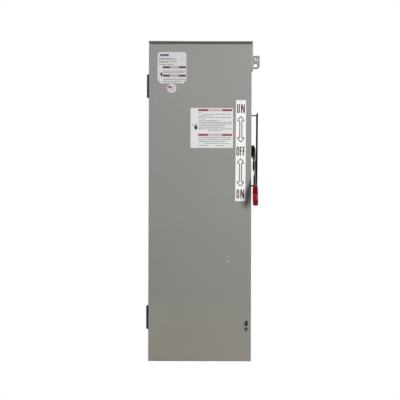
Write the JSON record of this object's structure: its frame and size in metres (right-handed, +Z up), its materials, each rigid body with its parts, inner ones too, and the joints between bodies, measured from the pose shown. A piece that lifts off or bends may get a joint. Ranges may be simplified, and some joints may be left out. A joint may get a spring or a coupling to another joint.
{
  "type": "ac disconnect box",
  "caption": "Tall wall-mounted rainproof double-throw disconnect switch with hinged door, side handle with guard, and knife-blade switch inside.",
  "frame": {"origin": "centre of the rear face that lies on the wall", "axes": "+Z up along the box, +Y into the wall, front faces -Y, handle on the +X side"},
  "size_m": [0.3296, 0.3089, 0.9298],
  "materials": {
    "grey_paint": "light grey powder coat, satin",
    "dark_steel": "dark brown-black coating, satin",
    "black_steel": "black oxide, satin",
    "zinc_steel": "bright zinc plate",
    "red_vinyl": "dipped vinyl, semi-gloss",
    "label_stock": null,
    "sticker_stock": "pale round sticker",
    "moulded_insulation": "moulded thermoset, matte",
    "copper": "copper, lightly tarnished",
    "aluminium": "plated aluminium",
    "fibre_board": "insulating fibre board",
    "clear_plastic": "clear sheet"
  },
  "bodies": {
    "enclosure": {"bottom_endwall": "grey_paint", "crossbar_bearing": "moulded_insulation", "detent_spring": "zinc_steel", "enclosure_body": "grey_paint", "ground_bar": "aluminium", "handle_guard": "dark_steel", "hinge_leaf_body_lower": "dark_steel", "hinge_leaf_body_upper": "dark_steel", "hinge_pin_lower": "dark_steel", "hinge_pin_upper": "dark_steel", "hub_closing_plate": "grey_paint", "insulating_base": "moulded_insulation", "interlock_pin": "zinc_steel", "jaw_lower_left": "copper", "jaw_lower_middle": "copper", "jaw_lower_right": "copper", "jaw_upper_left": "copper", "jaw_upper_middle": "copper", "jaw_upper_right": "copper", "line_shield": "clear_plastic", "load_post_left": "copper", "load_post_middle": "copper", "load_post_right": "copper", "lug_load_left": "aluminium", "lug_load_middle": "aluminium", "lug_load_right": "aluminium", "lug_lower_left": "aluminium", "lug_lower_middle": "aluminium", "lug_lower_right": "aluminium", "lug_upper_left": "aluminium", "lug_upper_middle": "aluminium", "lug_upper_right": "aluminium", "mechanism_frame": "zinc_steel", "padlock_staple": "black_steel", "phase_barrier_left": "fibre_board", "phase_barrier_right": "fibre_board", "shaft_bushing": "moulded_insulation", "side_tab": "grey_paint", "top_endwall": "grey_paint"},
    "door": {"door": "grey_paint", "hinge_leaf_door_upper": "dark_steel", "hinge_leaf_door_lower": "dark_steel", "nameplate": "label_stock", "warning_label": "label_stock", "position_strip": "label_stock", "round_sticker": "sticker_stock", "interlock_catch": "zinc_steel"},
    "fastener": {"door_fastener": "black_steel"},
    "handle": {"handle_hub": "black_steel", "lever": "black_steel", "grip": "red_vinyl", "handle_bolt": "black_steel", "operating_shaft": "zinc_steel", "crossbar": "moulded_insulation", "detent_cam": "zinc_steel", "blade_left": "copper", "blade_middle": "copper", "blade_right": "copper"},
    "lock_plate": {"lock_plate": "black_steel"},
    "interlock": {"interlock_latch": "zinc_steel"}
  },
  "joints": [
    {"name": "door_hinge", "type": "hinge", "parent": "enclosure", "child": "door", "pos_m": [-0.1526, -0.198, 0], "axis": [0, 0, -1], "range_deg": [0, 150]},
    {"name": "fastener_turn", "type": "hinge", "parent": "door", "child": "fastener", "pos_m": [0.136, -0.222, -0.369], "axis": [0, 1, 0], "range_deg": [0, 90]},
    {"name": "handle_throw", "type": "hinge", "parent": "enclosure", "child": "handle", "pos_m": [0, -0.147, 0.148], "axis": [-1, 0, 0], "range_deg": [0, 90], "deforming": ["detent_spring"]},
    {"name": "lock_slide", "type": "slide", "parent": "handle", "child": "lock_plate", "axis": [0, -0.7071, -0.7071], "range_m": [0, 0.014]},
    {"name": "interlock_turn", "type": "hinge", "parent": "enclosure", "child": "interlock", "pos_m": [0.112, -0.17, 0.08], "axis": [-1, 0, 0], "range_deg": [0, 12]}
  ]
}
